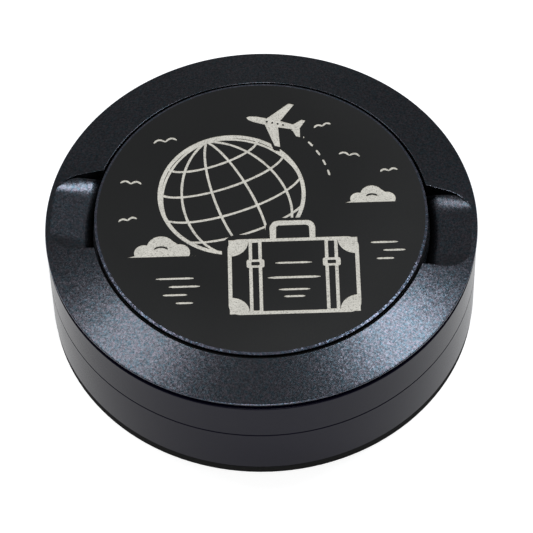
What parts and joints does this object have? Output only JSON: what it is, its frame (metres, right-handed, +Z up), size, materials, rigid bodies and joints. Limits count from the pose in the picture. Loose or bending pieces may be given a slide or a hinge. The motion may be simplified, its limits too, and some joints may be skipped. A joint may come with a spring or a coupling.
{
  "type": "bluetooth tracker tag",
  "caption": "Round black tracker tag: conical bezel ring with finger scoops, unscrewing etched cover over a coin cell, two-part shell, rubber foot, buzzer and radio board inside.",
  "frame": {"origin": "centre of the foot ring's underside, on the surface that the tag stands on", "axes": "+Z up through the cover, +X through the two finger scoops"},
  "size_m": [0.042, 0.042, 0.0134],
  "materials": {
    "foot_rubber": "matt moulded rubber",
    "shell_plastic": "satin black moulding",
    "seal_rubber": "soft black silicone",
    "bezel_metal": "bead-blasted black anodised, fine sparkle",
    "screw_steel": "plain steel",
    "inner_plastic": "dark grey moulding",
    "board_laminate": "dark green solder mask",
    "chip_body": "black mould compound",
    "crystal_can": "bright metal lid",
    "inductor_body": "grey ferrite",
    "antenna_body": "white ceramic",
    "passive_body": "tan ceramic",
    "contact_metal": "gold-flashed spring steel",
    "switch_body": "black moulding",
    "switch_stem": "off-white stem",
    "glue_film": "thin dark film",
    "piezo_brass": "rolled brass",
    "piezo_ceramic": "silvered ceramic",
    "pin_brass": "gold flash",
    "cell_steel": "bright nickel-plated steel",
    "cell_insulator": "dark polypropylene",
    "cell_core": "dark active mass",
    "cover_plastic": "satin black moulding",
    "plate_metal": "matt black anodised, etched drawing filled pale grey",
    "pad_foam": "closed-cell foam"
  },
  "bodies": {
    "case": {"foot_ring": "foot_rubber", "lower_shell": "shell_plastic", "shell_seal": "seal_rubber", "upper_shell": "shell_plastic", "bezel_ring": "bezel_metal", "case_screws": "screw_steel", "thread_collar": "inner_plastic", "battery_tray": "inner_plastic", "circuit_board": "board_laminate", "bluetooth_chip": "chip_body", "memory_chip": "chip_body", "motion_sensor": "chip_body", "main_crystal": "crystal_can", "clock_crystal": "crystal_can", "power_inductor": "inductor_body", "chip_antenna": "antenna_body", "chip_passives": "passive_body", "negative_contact": "contact_metal", "positive_contacts": "contact_metal", "switch_housing": "switch_body", "piezo_gasket": "glue_film", "piezo_disc": "piezo_brass", "piezo_ceramic": "piezo_ceramic", "buzzer_pins": "pin_brass"},
    "cell": {"cell_can": "cell_steel", "cell_cap": "cell_steel", "cell_gasket": "cell_insulator", "cell_core": "cell_core"},
    "cover": {"cover_cap": "cover_plastic", "face_plate": "plate_metal", "plate_adhesive": "glue_film", "cover_seal": "seal_rubber", "cell_press_pad": "pad_foam"},
    "pair_button": {"switch_plunger": "switch_stem"}
  },
  "joints": [
    {"name": "cell_lift", "type": "slide", "parent": "case", "child": "cell", "axis": [0, 0, 1], "range_m": [0, 0.008]},
    {"name": "cover_turn", "type": "hinge", "parent": "cell", "child": "cover", "pos_m": [0, 0, 0], "axis": [0, 0, 1], "range_deg": [0, 360]},
    {"name": "pair_press", "type": "slide", "parent": "case", "child": "pair_button", "axis": [0, 0, -1], "range_m": [0, 0.0002], "stiffness_N_per_m": 500}
  ],
  "couplings": [
    {"joint": "cell_lift", "follows": "cover_turn", "m_per_rad": 0.0012732}
  ]
}
